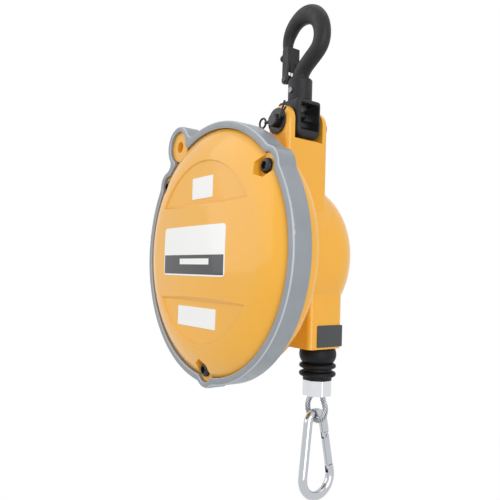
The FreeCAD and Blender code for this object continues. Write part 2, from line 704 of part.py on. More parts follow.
def tangent_line(side):
    """Points where a straight leg leaves the bow and meets the eye on one side."""
    y1, z1, r1 = snap_bow
    y2, z2, r2 = snap_eye
    reach = math.hypot(y2 - y1, z2 - z1)
    lean = math.atan2(z2 - z1, y2 - y1) - side * math.acos((r1 - r2) / reach)
    step = Vector(0, math.cos(lean), math.sin(lean))
    low, high = Vector(rope_x, rope_y + y1, z1), Vector(rope_x, rope_y + y2, z2)
    return low + step * r1, high + step * r2


def gate_frame():
    """Pivot of the gate, its length up to the nose and its lean about X in degrees."""
    low, high = tangent_line(1)
    up = (high - low).normalize()
    pivot = low + up * gate_pivot_rise
    nose_end = high - up * nose_drop
    lean = math.degrees(math.atan2(up.y, up.z))
    return pivot, (nose_end - pivot).Length, lean


def on_gate(shape):
    """Move a shape drawn upright at the pivot onto the gate's leaning axis."""
    pivot, length, lean = gate_frame()
    shape.rotate(Vector(0, 0, 0), X_DIR, -lean)
    shape.translate(pivot)
    return shape


def make_snap_hook():
    """Bent round bar: narrow eye, wide bow, and a nose whose cross pin the gate closes on."""
    low, high = tangent_line(1)
    back_low, back_high = tangent_line(-1)
    pivot, length, lean = gate_frame()
    eye_y, eye_z, eye_r = snap_eye
    bow_y, bow_z, bow_r = snap_bow
    up = (high - low).normalize()
    crown = Vector(rope_x, rope_y + eye_y, eye_z + eye_r)
    sole = Vector(rope_x, rope_y + bow_y, bow_z - bow_r)
    path = Part.Wire([Part.makeLine(pivot, low), Part.Arc(low, sole, back_low).toShape(),
                      Part.makeLine(back_low, back_high),
                      Part.Arc(back_high, crown, high).toShape(),
                      Part.makeLine(high, high - up * nose_drop)])
    bar = tube(path, snap_wire, pivot, -up)
    knuckle = rod_x(snap_wire, (-snap_wire, snap_wire), 0, 0)
    knuckle = on_gate(knuckle.common(rod_z(snap_wire, (-5, 5), 0, 0)))
    bar = bar.fuse(knuckle).removeSplitter()
    fork = on_gate(box((-tongue_half - 0.3, tongue_half + 0.3), (-9, 9), (-3.0, 9)))
    bar = bar.cut(fork)
    blade = box((-tongue_half, tongue_half), (-2.2, 2.2), (length - 4.6, length + 1))
    pin = rod_x(nose_pin_r, (-3.2, 3.2), 0, length - pin_reach)
    bar = fuse([bar, on_gate(blade.fuse(pin))])
    return bar.cut(on_gate(rod_x(rivet_r + 0.02, (-9, 9), 0, 0)))


def make_snap_gate():
    """Round gate: a tongue in the hook's fork and a slotted end that takes the nose's pin."""
    pivot, length, lean = gate_frame()
    gate = rod_z(3.2, (0, length - 0.4), 0, 0).cut(rod_x(snap_wire + 0.35, (-9, 9), 0, 0))
    gate = gate.cut(box((-9, 9), (-9, 9), (-1, 2)))
    tongue = box((-tongue_half, tongue_half), (-2.2, 2.2), (0, 6))
    tongue = tongue.fuse(rod_x(2.2, (-tongue_half, tongue_half), 0, 0))
    gate = gate.fuse(tongue)
    slot_half = tongue_half + gate_play
    slot = box((-slot_half, slot_half), (-9, 9), (length - 5.4, length + 9))
    notch_r = nose_pin_r + gate_play
    notch_z = length - pin_reach
    notch = rod_x(notch_r, (-9, 9), 0, notch_z)
    mouth = box((-9, 9), (0, 9), (notch_z - notch_r, notch_z + notch_r))
    gate = gate.cut(slot).cut(notch).cut(mouth).cut(rod_x(rivet_r + 0.04, (-9, 9), 0, 0))
    return on_gate(gate)


def make_gate_rivet():
    return on_gate(rod_x(rivet_r, (-3.45, 3.45), 0, 0))


# ---------------------------------------------------------------- plates
def make_plate(x, z, y, thickness, corner):
    plate = box(x, (y - thickness, y), z)
    return plate.makeFillet(corner, edges_where(plate, lambda e: along(e, Y_DIR)))


def make_name_plate():
    """Thin plate bent to the dome's own curve."""
    dome = turned_y(dome_outline + [(rim_r, joint_y), (0, joint_y)])
    skin = dome.copy()
    skin.translate(Vector(0, -0.4, 0))
    plate = box((-53, 37.5), (-20, -2), (-18.5, 19.5))
    plate = plate.makeFillet(3.0, edges_where(plate, lambda e: along(e, Y_DIR)))
    return plate.common(skin.cut(dome))


def make_side_plate():
    plate = box((leg_side, leg_side + 0.6), (62.0, 88.0), (-69.5, -53.0))
    return plate.makeFillet(1.0, edges_where(plate, lambda e: along(e, X_DIR)))


def main():
    os.makedirs("parts", exist_ok=True)
    save("front_cover", make_front_cover())
    save("bumper_ring", make_bumper_ring())
    save("main_case", make_main_case())
    save("drum_housing", make_drum_housing())
    save("cover_screws", make_cover_screws())
    save("housing_screws", make_housing_screws())
    save("rope_guide", make_rope_guide())
    save("spring_case", make_spring_case())
    save("tension_worm", make_worm())
    save("mainspring", make_mainspring())
    save("rope_drum", make_rope_drum())
    save("rope_on_drum", make_rope_on_drum())
    save("drum_shaft", make_drum_shaft())
    save("drum_key", make_drum_key())
    save("spring_arbor", make_spring_arbor())
    save("front_bearing", make_bearing(49.5))
    save("rear_bearing", make_bearing(88.5))
    save("drum_circlip", make_circlip(86.9))
    save("hanger_strap", make_hanger_strap())
    save("hanger_pin", make_hanger_pin())
    save("pin_washer", make_pin_washer())
    save("split_pin", make_split_pin())
    save("hook", make_hook())
    save("hook_collar", make_hook_collar())
    save("collar_pin", make_collar_pin())
    save("hook_nut", make_hook_nut())
    save("thrust_washer", make_thrust_washer())
    save("hook_latch", make_hook_latch())
    save("latch_rivet", make_latch_rivet())
    save("latch_spring", make_latch_spring())
    save("wire_rope", make_wire_rope())
    save("rope_buffer", make_rope_buffer())
    save("rope_ferrule", make_rope_ferrule())
    save("rope_loop", make_rope_loop())
    save("snap_hook", make_snap_hook())
    save("snap_gate", make_snap_gate())
    save("gate_rivet", make_gate_rivet())
    save("name_plate", make_name_plate())
    save("rating_plate", make_plate((-31, 23), (-57, -42), panel_floor, 0.4, 0.6))
    save("notice_plate", make_plate((-15, 14), (40.5, 57), panel_floor, 0.4, 0.6))
    save("side_plate", make_side_plate())


main()
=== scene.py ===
"""Spring balancer with a swivel safety hook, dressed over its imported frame."""
import json
import logging
import math
from dataclasses import dataclass, field
from enum import Enum
from typing import Iterable, Sequence

import bpy
from mathutils import Matrix, Vector

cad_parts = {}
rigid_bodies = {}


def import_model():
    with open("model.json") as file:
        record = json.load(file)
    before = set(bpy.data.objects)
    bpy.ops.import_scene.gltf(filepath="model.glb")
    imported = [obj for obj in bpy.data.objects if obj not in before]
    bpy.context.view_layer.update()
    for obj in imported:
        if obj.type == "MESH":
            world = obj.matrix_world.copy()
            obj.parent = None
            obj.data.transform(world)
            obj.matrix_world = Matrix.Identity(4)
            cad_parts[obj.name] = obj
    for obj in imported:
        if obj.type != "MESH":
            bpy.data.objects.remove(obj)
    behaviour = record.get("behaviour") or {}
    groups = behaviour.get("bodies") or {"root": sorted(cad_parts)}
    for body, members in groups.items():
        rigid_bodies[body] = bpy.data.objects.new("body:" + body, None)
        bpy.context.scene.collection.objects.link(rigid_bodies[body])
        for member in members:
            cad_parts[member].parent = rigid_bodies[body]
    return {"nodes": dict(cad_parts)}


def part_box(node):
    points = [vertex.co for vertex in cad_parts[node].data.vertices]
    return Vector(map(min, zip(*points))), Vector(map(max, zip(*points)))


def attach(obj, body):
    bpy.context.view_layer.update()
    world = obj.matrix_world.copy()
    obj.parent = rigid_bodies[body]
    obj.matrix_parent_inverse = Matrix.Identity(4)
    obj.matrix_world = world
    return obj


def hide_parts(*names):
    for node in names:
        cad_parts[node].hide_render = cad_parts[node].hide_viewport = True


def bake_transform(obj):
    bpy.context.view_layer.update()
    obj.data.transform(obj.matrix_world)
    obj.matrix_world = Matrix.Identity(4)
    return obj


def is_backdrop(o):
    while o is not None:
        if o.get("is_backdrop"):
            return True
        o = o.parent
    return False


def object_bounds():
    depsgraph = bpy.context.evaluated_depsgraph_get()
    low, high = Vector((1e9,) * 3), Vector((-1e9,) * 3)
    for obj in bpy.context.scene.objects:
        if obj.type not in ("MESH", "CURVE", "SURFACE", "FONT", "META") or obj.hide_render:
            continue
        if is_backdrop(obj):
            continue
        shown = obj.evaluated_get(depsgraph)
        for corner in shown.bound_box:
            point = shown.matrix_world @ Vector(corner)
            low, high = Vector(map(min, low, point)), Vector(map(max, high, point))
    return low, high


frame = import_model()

log = logging.getLogger("balancer")
logging.basicConfig(level=logging.INFO, format="%(message)s")

MM = 0.001
WHITE = (1.0, 1.0, 1.0, 1.0)
NOISE_LOW, NOISE_HIGH = 0.3, 0.7     # most values of a noise lie between these
BLOTCH_OCTAVES, PATCH_OCTAVES = 3.0, 2.0  # finer layers of the two slow noises
LEAST_ROUGHNESS = 0.02
MIX_FACTOR, MIX_FIRST, MIX_SECOND = 0, 6, 7  # inputs of a Mix node that blends colours
MIX_COLOUR = 2                       # its output


class Axis(Enum):
    """Axes of the shared frame."""
    X = 0
    Y = 1
    Z = 2


# ------------------------------------------------------------------ colour and node helpers
def linear(hex_colour: str) -> tuple[float, float, float, float]:
    """Turn an sRGB hex colour into linear values.

    Args:
        hex_colour: six hex digits, with or without a leading #.

    Returns:
        Linear red, green and blue, and full opacity.
    """
    digits = hex_colour.lstrip("#")
    parts = [int(digits[k:k + 2], 16) / 255 for k in (0, 2, 4)]
    red, green, blue = (part / 12.92 if part <= 0.04045 else ((part + 0.055) / 1.055) ** 2.4
                        for part in parts)
    return red, green, blue, 1.0


def add_node(tree: bpy.types.NodeTree, kind: str, settings: dict | None = None,
             inputs: dict | None = None) -> bpy.types.Node:
    """Add one node, set its properties and feed its sockets.

    Args:
        tree: the node tree.
        kind: the node's type name without the ShaderNode prefix.
        settings: node properties by name.
        inputs: socket name or number to a value, or to an output socket that is linked.

    Returns:
        The new node.
    """
    node = tree.nodes.new("ShaderNode" + kind)
    for key, value in (settings or {}).items():
        setattr(node, key, value)
    for key, value in (inputs or {}).items():
        if isinstance(value, bpy.types.NodeSocket):
            tree.links.new(value, node.inputs[key])
        else:
            node.inputs[key].default_value = value
    return node


# ------------------------------------------------------------------ finishes
@dataclass(frozen=True)
class Finish:
    """A surface finish: one principled shader with typical values for its real material."""
    name: str
    colour: str
    metallic: float = 0.0
    roughness: float = 0.5
    ior: float = 1.5
    specular: float = 0.5
    coat: float = 0.0
    coat_roughness: float = 0.05
    blotch_mm: float = 9.0           # width of one blotch of the mottle
    blotch: float = 0.05             # how far the mottle swings the colour's value
    patch_mm: float = 6.0            # width of one patch of uneven gloss
    patch: float = 0.06              # how far the roughness wanders

    def material(self) -> bpy.types.Material:
        """Build the material once and reuse it.

        Returns:
            The material named for this finish.
        """
        known = bpy.data.materials.get(self.name)
        if known is not None:
            return known
        made = bpy.data.materials.new(self.name)
        made.use_nodes = True
        made.diffuse_color = linear(self.colour)
        tree = made.node_tree
        shader = tree.nodes["Principled BSDF"]
        shader.inputs["Base Color"].default_value = linear(self.colour)
        shader.inputs["Metallic"].default_value = self.metallic
        shader.inputs["Roughness"].default_value = self.roughness
        shader.inputs["IOR"].default_value = self.ior
        shader.inputs["Specular IOR Level"].default_value = self.specular
        shader.inputs["Coat Weight"].default_value = self.coat
        shader.inputs["Coat Roughness"].default_value = self.coat_roughness
        place = add_node(tree, "TexCoord").outputs["Object"]
        self.pattern(tree, shader, place)
        return made

    def pattern(self, tree: bpy.types.NodeTree, shader: bpy.types.Node,
                place: bpy.types.NodeSocket) -> None:
        """Add the finish's own texture; the plain finish has a faint mottle only.

        Args:
            tree: the material's nodes.
            shader: the principled shader.
            place: object coordinates.
        """
        self.mottle(tree, shader, place)

    def mottle(self, tree: bpy.types.NodeTree, shader: bpy.types.Node,
               place: bpy.types.NodeSocket) -> None:
        """Vary the colour by a slow noise.

        Args:
            tree: the material's nodes.
            shader: the principled shader.
            place: object coordinates.
        """
        noise = add_node(tree, "TexNoise", None,
                         {"Vector": place, "Scale": 1 / (self.blotch_mm * MM),
                          "Detail": BLOTCH_OCTAVES})
        span = add_node(tree, "MapRange", None,
                        {"Value": noise.outputs["Fac"], "From Min": NOISE_LOW,
                         "From Max": NOISE_HIGH, "To Min": 1 - self.blotch,
                         "To Max": 1 + self.blotch})
        shade = add_node(tree, "HueSaturation", None,
                         {"Color": linear(self.colour), "Value": span.outputs[0]})
        tree.links.new(shade.outputs["Color"], shader.inputs["Base Color"])

    def grain(self, tree: bpy.types.NodeTree, shader: bpy.types.Node,
              place: bpy.types.NodeSocket, size_mm: float, depth_mm: float,
              octaves: float = 2.0) -> None:
        """Raise a fine bump.

        Args:
            tree: the material's nodes.
            shader: the principled shader.
            place: coordinates that carry the grain.
            size_mm: distance from one grain to the next.
            depth_mm: height of the relief.
            octaves: how many finer layers the noise adds.
        """
        noise = add_node(tree, "TexNoise", None,
                         {"Vector": place, "Scale": 1 / (size_mm * MM), "Detail": octaves})
        bump = add_node(tree, "Bump", None, {"Height": noise.outputs["Fac"],
                                             "Distance": depth_mm * MM, "Strength": 1.0})
        tree.links.new(bump.outputs["Normal"], shader.inputs["Normal"])

    def uneven_gloss(self, tree: bpy.types.NodeTree, shader: bpy.types.Node,
                     place: bpy.types.NodeSocket) -> None:
        """Let the roughness wander from patch to patch.

        Args:
            tree: the material's nodes.
            shader: the principled shader.
            place: object coordinates.
        """
        noise = add_node(tree, "TexNoise", None,
                         {"Vector": place, "Scale": 1 / (self.patch_mm * MM),
                          "Detail": PATCH_OCTAVES})
        span = add_node(tree, "MapRange", None,
                        {"Value": noise.outputs["Fac"], "From Min": NOISE_LOW,
                         "From Max": NOISE_HIGH,
                         "To Min": max(self.roughness - self.patch, LEAST_ROUGHNESS),
                         "To Max": self.roughness + self.patch})
        tree.links.new(span.outputs[0], shader.inputs["Roughness"])


@dataclass(frozen=True)
class CastEnamel(Finish):
    """Baked enamel on die-cast aluminium: deep gloss with a shallow orange peel."""
    blotch_mm: float = 40.0
    blotch: float = 0.02
    peel_mm: float = 2.6
    peel_depth_mm: float = 0.006
    peel_octaves: float = 1.0

    def pattern(self, tree: bpy.types.NodeTree, shader: bpy.types.Node,
                place: bpy.types.NodeSocket) -> None:
        """Orange peel, and a slight change of depth in the colour.

        Args:
            tree: the material's nodes.
            shader: the principled shader.
            place: object coordinates.
        """
        self.mottle(tree, shader, place)
        self.grain(tree, shader, place, self.peel_mm, self.peel_depth_mm, self.peel_octaves)


@dataclass(frozen=True)
class MouldedRubber(Finish):
    """Moulded rubber: soft highlight broken by a spark-eroded tool's fine grain."""
    blotch_mm: float = 14.0
    blotch: float = 0.04
    grain_mm: float = 0.7            # coarser than a real grain, so that it shows
    grain_depth_mm: float = 0.03

    def pattern(self, tree: bpy.types.NodeTree, shader: bpy.types.Node,
                place: bpy.types.NodeSocket) -> None:
        """Fine grain, faint bloom and patchy gloss.

        Args:
            tree: the material's nodes.
            shader: the principled shader.
            place: object coordinates.
        """
        self.mottle(tree, shader, place)
        self.uneven_gloss(tree, shader, place)
        self.grain(tree, shader, place, self.grain_mm, self.grain_depth_mm)


@dataclass(frozen=True)
class RubberWithPaintedHighlight(MouldedRubber):
    """Moulded rubber with a highlight painted as a pale band along its rounded front edge,
    where the edge faces the front.
    """
    # colour of the highlight painted on the rounded front lip
    painted_highlight: str = "#D3D7DE"
    facing: float = 0.62             # how far the edge faces the front, 1 being square on
    spread: float = 0.28             # how fast the painted highlight fades either side of that
    strength: float = 0.75           # how strong the painted highlight is in its middle

    def pattern(self, tree: bpy.types.NodeTree, shader: bpy.types.Node,
                place: bpy.types.NodeSocket) -> None:
        """Grain as on any moulded rubber, then a painted highlight over the front edge.

        Args:
            tree: the material's nodes.
            shader: the principled shader.
            place: object coordinates.
        """
        super().pattern(tree, shader, place)
        grey = shader.inputs["Base Color"].links[0].from_socket
        parts = add_node(tree, "SeparateXYZ", None,
                         {0: add_node(tree, "TexCoord").outputs["Normal"]})
        # painted highlight: pale where the normal faces the front at the set slant, fading
        # either side
        offset = add_node(tree, "Math", {"operation": "ADD"},
                          {0: parts.outputs[Axis.Y.value], 1: self.facing})
        far = add_node(tree, "Math", {"operation": "ABSOLUTE"}, {0: offset.outputs[0]})
        band = add_node(tree, "MapRange", {"interpolation_type": "SMOOTHSTEP"},
                        {"Value": far.outputs[0], "From Min": 0.0, "From Max": self.spread,
                         "To Min": self.strength, "To Max": 0.0})
        mix = add_node(tree, "Mix", {"data_type": "RGBA"},
                       {MIX_FACTOR: band.outputs[0], MIX_FIRST: grey,
                        MIX_SECOND: linear(self.painted_highlight)})
        tree.links.new(mix.outputs[MIX_COLOUR], shader.inputs["Base Color"])


@dataclass(frozen=True)
class ForgedBlack(Finish):
    """Black oxide over a forged and tumbled surface: satin with a shallow hammered skin."""
    blotch_mm: float = 7.0
    blotch: float = 0.12
    patch_mm: float = 5.0
    patch: float = 0.08
    scale_mm: float = 1.6
    scale_depth_mm: float = 0.05
    scale_octaves: float = 4.0

    def pattern(self, tree: bpy.types.NodeTree, shader: bpy.types.Node,
                place: bpy.types.NodeSocket) -> None:
        """Shallow forging skin and rubbed patches.

        Args:
            tree: the material's nodes.
            shader: the principled shader.
            place: object coordinates.
        """
        self.mottle(tree, shader, place)
        self.uneven_gloss(tree, shader, place)
        self.grain(tree, shader, place, self.scale_mm, self.scale_depth_mm, self.scale_octaves)


@dataclass(frozen=True)
class DrawnMetal(Finish):
    """Plated or worked metal: bright, with faint lines along one axis."""
    patch_mm: float = 3.0
    patch: float = 0.05
    line_mm: float = 0.35            # coarser than real drawing lines, so that they show
    line_axis: Axis = Axis.Z
    line_depth_mm: float = 0.004
    line_pull: float = 0.06          # scale along the lines, against 1 across them

    def pattern(self, tree: bpy.types.NodeTree, shader: bpy.types.Node,
                place: bpy.types.NodeSocket) -> None:
        """Noise pulled out into lines along one axis.

        Args:
            tree: the material's nodes.
            shader: the principled shader.
            place: object coordinates.
        """
        stretch = [1.0, 1.0, 1.0]
        stretch[self.line_axis.value] = self.line_pull
        pulled = add_node(tree, "Mapping", None, {"Vector": place, "Scale": tuple(stretch)})
        self.uneven_gloss(tree, shader, place)
        self.grain(tree, shader, pulled.outputs[0], self.line_mm, self.line_depth_mm)


@dataclass(frozen=True)
class SpringStrip(Finish):
    """Hardened spring steel: a dark grey that turns blue in patches."""
    patch_mm: float = 8.0
    temper: str = "#5A6B86"
    temper_mm: float = 50 / 3        # width of one patch of oxide colour

    def pattern(self, tree: bpy.types.NodeTree, shader: bpy.types.Node,
                place: bpy.types.NodeSocket) -> None:
        """Blend two oxide colours in slow patches.

        Args:
            tree: the material's nodes.
            shader: the principled shader.
            place: object coordinates.
        """
        noise = add_node(tree, "TexNoise", None,
                         {"Vector": place, "Scale": 1 / (self.temper_mm * MM),
                          "Detail": PATCH_OCTAVES})
        mix = add_node(tree, "Mix", {"data_type": "RGBA"},
                       {MIX_FACTOR: noise.outputs["Fac"], MIX_FIRST: linear(self.colour),
                        MIX_SECOND: linear(self.temper)})
        tree.links.new(mix.outputs[MIX_COLOUR], shader.inputs["Base Color"])
        self.uneven_gloss(tree, shader, place)


@dataclass(frozen=True)
class Field:
    """Upright rectangle on a label, in millimetres of the shared frame."""
    left: float
    right: float
    foot: float
    head: float


@dataclass(frozen=True)
class PrintedFilm(Finish):
    """Laminated label film with a dark band and a pale window in it, both without print."""
    ink: str = "#23262A"
    band: Field = Field(0.0, 0.0, 0.0, 0.0)
    window: Field = Field(0.0, 0.0, 0.0, 0.0)
    ripple_mm: float = 3.0
    ripple_depth_mm: float = 0.004
    ripple_octaves: float = 1.0

    def pattern(self, tree: bpy.types.NodeTree, shader: bpy.types.Node,
                place: bpy.types.NodeSocket) -> None:
        """Ink inside the band and outside the window.

        Args:
            tree: the material's nodes.
            shader: the principled shader.
            place: object coordinates.
        """
        parts = add_node(tree, "SeparateXYZ", None, {0: place})
        dark = add_node(tree, "Math", {"operation": "SUBTRACT", "use_clamp": True},
                        {0: self.inside(tree, parts, self.band),
                         1: self.inside(tree, parts, self.window)})
        mix = add_node(tree, "Mix", {"data_type": "RGBA"},
                       {MIX_FACTOR: dark.outputs[0], MIX_FIRST: linear(self.colour),
                        MIX_SECOND: linear(self.ink)})
        tree.links.new(mix.outputs[MIX_COLOUR], shader.inputs["Base Color"])
        self.grain(tree, shader, place, self.ripple_mm, self.ripple_depth_mm,
                   self.ripple_octaves)

    @staticmethod
    def inside(tree: bpy.types.NodeTree, parts: bpy.types.Node,
               area: Field) -> bpy.types.NodeSocket:
        """Give 1 inside an area and 0 outside it.

        Args:
            tree: the material's nodes.
            parts: the node that splits the coordinates.
            area: the rectangle.

        Returns:
            The socket that carries the mask.
        """
        mask = None
        for axis, limit, test in ((Axis.X, area.left, "GREATER_THAN"),
                                  (Axis.X, area.right, "LESS_THAN"),
                                  (Axis.Z, area.foot, "GREATER_THAN"),
                                  (Axis.Z, area.head, "LESS_THAN")):
            step = add_node(tree, "Math", {"operation": test},
                            {0: parts.outputs[axis.value], 1: limit * MM}).outputs[0]
            if mask is not None:
                step = add_node(tree, "Math", {"operation": "MULTIPLY"},
                                {0: mask, 1: step}).outputs[0]
            mask = step
        return mask


# baked enamel on the castings: the colour the eye meets first, with a wet gloss
YELLOW = CastEnamel("baked_enamel_yellow", "#F1B034", roughness=0.36, specular=0.3,
                    coat=0.55, coat_roughness=0.08)
# moulded rubber: the grey ring that takes knocks, satin, with a highlight painted on its front
# lip
GREY_RUBBER = RubberWithPaintedHighlight("moulded_rubber_grey", "#90969D", roughness=0.34)
# moulded rubber: the dull black stop under the case, almost without a highlight
BLACK_RUBBER = MouldedRubber("moulded_rubber_black", "#17171B", specular=0.2, grain_mm=0.9)
# black oxide on forged steel: the hook and the hanger, satin and slightly uneven
BLACK_FORGING = ForgedBlack("black_oxide_forging", "#28282A", roughness=0.48, specular=0.25)
# black oxide on pressed sheet: the latch, a little paler and with a finer skin
BLACK_SHEET = ForgedBlack("black_oxide_sheet", "#323233", specular=0.25,
                          scale_mm=0.9, scale_depth_mm=0.02)
# black oxide on machined steel: screws and pins, the darkest and crispest of the blacks
BLACK_SCREW = ForgedBlack("black_oxide_screw", "#141416", roughness=0.34,
                          scale_mm=0.8, scale_depth_mm=0.01)
# bright zinc on bent wire: mirror-like with a cool cast
ZINC = DrawnMetal("bright_zinc_plate", "#C0C3C7", metallic=1.0, roughness=0.10)
# pressed aluminium: the palest metal, its flats read as plain bright facets
FERRULE = DrawnMetal("pressed_aluminium", "#DCDEE1", metallic=1.0, roughness=0.16)
# bright steel: soft grey, with faint lines that run along the shaft
TURNED = DrawnMetal("turned_steel", "#A9ABAE", metallic=1.0, roughness=0.3, line_axis=Axis.Y)
# tempered strip: dark grey with bluish patches, unlike the bright steel round it
STRIP = SpringStrip("tempered_spring_strip", "#4B4F58", metallic=1.0, roughness=0.3)
# cast bronze: warm and dull, as on any worm wheel
BRONZE = DrawnMetal("cast_bronze", "#B08A4E", metallic=1.0, roughness=0.38, line_mm=0.8,
                    line_depth_mm=0.02)
# cast aluminium: pale, rough and unpainted, as on the drum
CAST_ALLOY = DrawnMetal("cast_aluminium", "#B9BBBE", metallic=1.0, roughness=0.42, line_mm=0.9,
                        line_depth_mm=0.03)
# rolled spring pin: a dull steel dot in the black collar
ROLLED = DrawnMetal("rolled_spring_pin", "#7A7C80", metallic=1.0, roughness=0.36)
# galvanised wire: cool grey, its strands glint one by one
WIRE = DrawnMetal("galvanised_wire", "#B0B3B7", metallic=1.0, roughness=0.24)
# moulded nylon: the black bush in the rope's outlet, slightly waxy
NYLON = MouldedRubber("moulded_nylon_black", "#1B1B1D", roughness=0.38, grain_mm=1.2,
                      grain_depth_mm=0.01)
# laminated white film: flat and clean against the yellow, a little shinier than paper
FILM_WHITE = "#F4F4F2"
WHITE_FILM = Finish("label_film_white", FILM_WHITE, roughness=0.3, coat=0.3, blotch=0.01)
# laminated dark film: a grey-black patch with a soft sheen on the housing's side
GREY_FILM = Finish("label_film_grey", "#2E3136", roughness=0.28, coat=0.4, blotch=0.02)


# ------------------------------------------------------------------ mesh helpers
def deselect() -> None:
    """Clear every selection before an operator runs."""
    for other in bpy.context.view_layer.objects:
        other.select_set(False)


def activate(piece: bpy.types.Object) -> None:
    """Make one object the only selected and active one.

    Args:
        piece: the object.
    """
    deselect()
    piece.select_set(True)
    bpy.context.view_layer.objects.active = piece


def settle(piece: bpy.types.Object, name: str) -> None:
    """Name a finished piece and bake its place into its mesh.

    Args:
        piece: the object; it ends at the origin, unturned and unscaled.
        name: its name in the part.
    """
    piece.name = name
    piece.data.name = name
    activate(piece)
    bpy.ops.object.transform_apply(location=True, rotation=True, scale=True)


def dress(nodes: Iterable[str], finish: Finish) -> None:
    """Give CAD nodes a finish.

    Args:
        nodes: names of the nodes.
        finish: the finish they share.
    """
    for name in nodes:
        node = frame["nodes"][name]
        node.data.materials.clear()
        node.data.materials.append(finish.material())
        log.info("%s: %s", name, finish.name)


def paint(piece: bpy.types.Object, finish: Finish) -> None:
    """Give a new piece a finish.

    Args:
        piece: the new piece.
        finish: its finish.
    """
    piece.data.materials.clear()
    piece.data.materials.append(finish.material())
    log.info("%s: %s", piece.name, finish.name)


def smooth(piece: bpy.types.Object, degrees: float) -> None:
    """Shade a piece smooth where its faces meet at less than an angle.

    Args:
        piece: the object.
        degrees: the angle.
    """
    activate(piece)
    bpy.ops.object.shade_smooth_by_angle(angle=math.radians(degrees))


def corner(node: str) -> tuple[Vector, Vector]:
    """Find the box round a CAD node at rest.

    Args:
        node: the node's name.

    Returns:
        Its lowest and highest corner in metres.
    """
    low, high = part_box(node)
    return Vector(low), Vector(high)


# ------------------------------------------------------------------ rope
@dataclass
class LaidRope:
    """Wire rope drawn as six strands laid round each other."""
    radius: float = 2.0 * MM
    lay: float = 15.0 * MM           # length of one full twist
    steps_per_lay: int = 10
    strands: int = 6
    outline: tuple[float, ...] = (0.6, 0.87, 0.97, 1.0, 0.97, 0.87)  # one strand, valley first
    smooth_below: float = 50.0       # degrees
    path_order: int = 3              # of the curve that a bent rope follows
    path_steps: int = 12             # from each of its points to the next

    def straight(self, length: float) -> bpy.types.Object:
        """Make a straight rope from the origin up Z by extruding and turning one section.

        Args:
            length: length of the rope in metres.

        Returns:
            The rope as an object still in place at the origin.
        """
        deselect()
        points = len(self.outline)
        bpy.ops.mesh.primitive_circle_add(vertices=self.strands * points, radius=self.radius,
                                          fill_type="NGON", location=(0, 0, 0))
        rope = bpy.context.object
        for vertex in rope.data.vertices:
            share = self.outline[vertex.index % points]
            vertex.co.x *= share
            vertex.co.y *= share
        count = max(2, round(length / self.lay * self.steps_per_lay))
        rise = length / count
        turn = 2 * math.pi / self.steps_per_lay
        bpy.ops.object.mode_set(mode="EDIT")
        bpy.ops.mesh.select_all(action="SELECT")
        for _ in range(count):
            bpy.ops.mesh.extrude_region_move(
                TRANSFORM_OT_translate={"value": (0, 0, rise)})
            bpy.ops.transform.rotate(value=turn, orient_axis="Z",
                                     center_override=(0, 0, 0))
        bpy.ops.mesh.select_all(action="SELECT")
        bpy.ops.mesh.normals_make_consistent(inside=False)
        bpy.ops.object.mode_set(mode="OBJECT")
        return rope

    def bent(self, points: Sequence[Vector]) -> bpy.types.Object:
        """Lay the rope along an open curve.

        Args:
            points: control points of the curve, in metres.

        Returns:
            The rope with the bend applied.
        """
        curve = bpy.data.curves.new("rope_path", "CURVE")
        curve.dimensions = "3D"
        spline = curve.splines.new("NURBS")
        spline.points.add(len(points) - 1)
        for spot, point in zip(spline.points, points):
            spot.co = (point.x, point.y, point.z, 1)
        spline.order_u = self.path_order
        spline.use_endpoint_u = True
        spline.resolution_u = self.path_steps
        path = bpy.data.objects.new("rope_path", curve)
        bpy.context.scene.collection.objects.link(path)
        length = spline.calc_length()
        rope = self.straight(length)
        follow = rope.modifiers.new("follow", "CURVE")
        follow.object = path
        follow.deform_axis = "POS_Z"
        activate(rope)
        bpy.ops.object.modifier_apply(modifier=follow.name)
        bpy.data.objects.remove(path)
        return rope


# ------------------------------------------------------------------ sub-assemblies
@dataclass
class TopHook:
    """Forged swivel hook, its collar, nut and sprung latch."""
    forged: tuple[str, ...] = ("hook", "hook_collar")
    pressed: tuple[str, ...] = ("hook_latch",)
    rolled: tuple[str, ...] = ("collar_pin",)
    machined: tuple[str, ...] = ("latch_rivet", "latch_spring", "hook_nut", "thrust_washer")

    def build(self) -> None:
        """Dress the hook."""
        dress(self.forged, BLACK_FORGING)
        dress(self.pressed, BLACK_SHEET)
        dress(self.rolled, ROLLED)
        dress(self.machined, BLACK_SCREW)


@dataclass
class Hanger:
    """Strap between the ears, its pin, washer and split pin."""
    forged: tuple[str, ...] = ("hanger_strap",)
    machined: tuple[str, ...] = ("hanger_pin", "pin_washer", "split_pin")

    def build(self) -> None:
        """Dress the hanger."""
        dress(self.forged, BLACK_FORGING)
        dress(self.machined, BLACK_SCREW)


@dataclass
class Case:
    """Die-cast shells, their screws, the rubber bumper and the rope's bush."""
    shells: tuple[str, ...] = ("main_case", "drum_housing", "front_cover")
    bumper: tuple[str, ...] = ("bumper_ring",)
    screws: tuple[str, ...] = ("cover_screws", "housing_screws")
    bush: tuple[str, ...] = ("rope_guide",)

    def build(self) -> None:
        """Dress the shells."""
        dress(self.shells, YELLOW)
        dress(self.bumper, GREY_RUBBER)
        dress(self.screws, BLACK_SCREW)
        dress(self.bush, NYLON)


